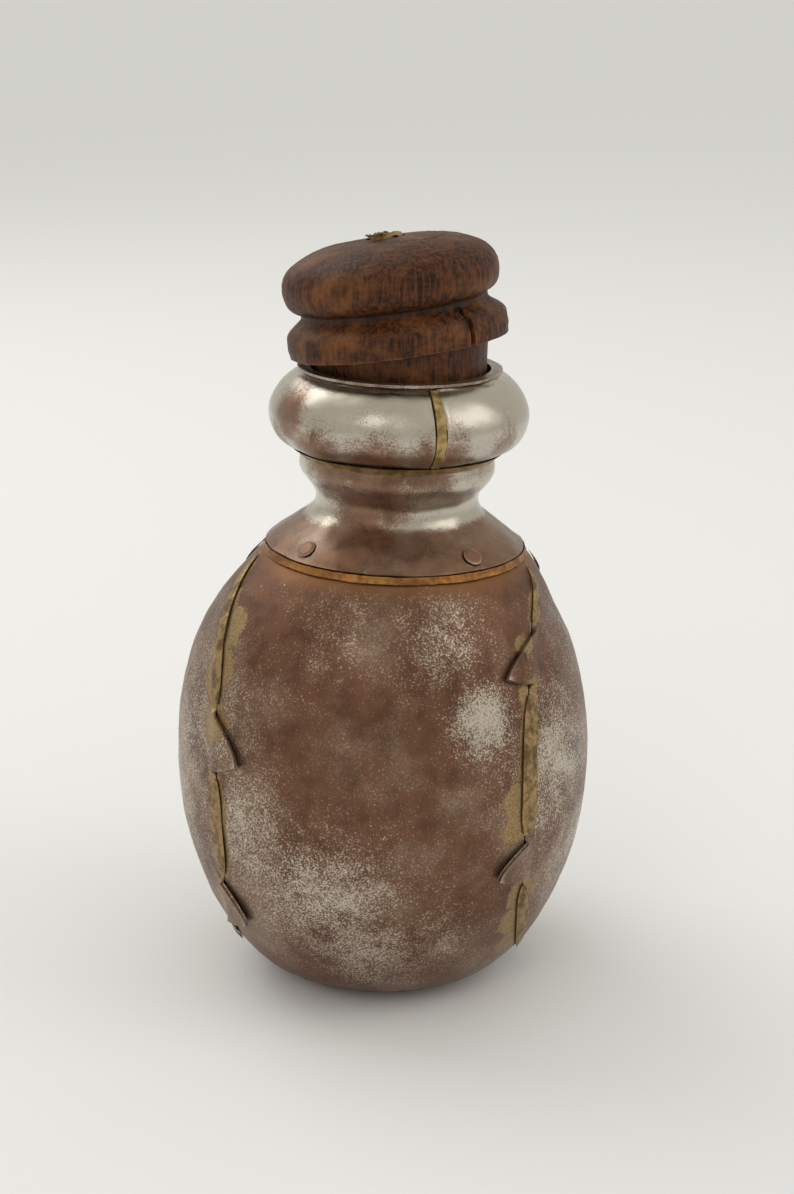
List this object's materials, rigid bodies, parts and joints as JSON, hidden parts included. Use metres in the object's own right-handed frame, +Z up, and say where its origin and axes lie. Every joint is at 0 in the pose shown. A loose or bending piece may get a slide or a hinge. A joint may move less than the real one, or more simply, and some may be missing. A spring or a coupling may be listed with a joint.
{
  "type": "pilgrim flask",
  "caption": "Round-bodied flask of raised sheet iron with tabbed, brass-brazed seams, a hollow ring round the mouth and a turned wooden stopper that pulls out.",
  "frame": {"origin": "centre of the flat base, on the axis of the body", "axes": "+Z up towards the stopper, -Y towards the front panel, +X towards the right gusset, the side to which the neck leans"},
  "size_m": [0.1006, 0.1006, 0.1801],
  "materials": {
    "sheet_iron": "hammered sheet iron, worn tinning over a brown patina",
    "tinned_iron": "tinned and rubbed sheet iron",
    "braze_brass": "run and tarnished brazing brass",
    "turned_wood": "dark turned wood, worn at the edges",
    "peg_wood": "broken end grain"
  },
  "bodies": {
    "flask": {"front_panel": "sheet_iron", "back_panel": "sheet_iron", "left_gusset": "sheet_iron", "right_gusset": "sheet_iron", "brass_front_left": "braze_brass", "brass_front_right": "braze_brass", "brass_back_left": "braze_brass", "brass_back_right": "braze_brass", "brass_base_seam": "braze_brass", "neck_collar": "tinned_iron", "collar_rivets": "sheet_iron", "brass_collar_joint": "braze_brass", "neck_ring": "tinned_iron", "brass_neck_joint": "braze_brass", "brass_ring_seam": "braze_brass", "mouth_lip": "tinned_iron"},
    "stopper": {"stopper": "turned_wood", "stopper_peg": "peg_wood"}
  },
  "joints": [
    {"name": "stopper_lift", "type": "slide", "parent": "flask", "child": "stopper", "axis": [-0.1339, 0.0279, 0.9906], "range_m": [0, 0.05]}
  ]
}
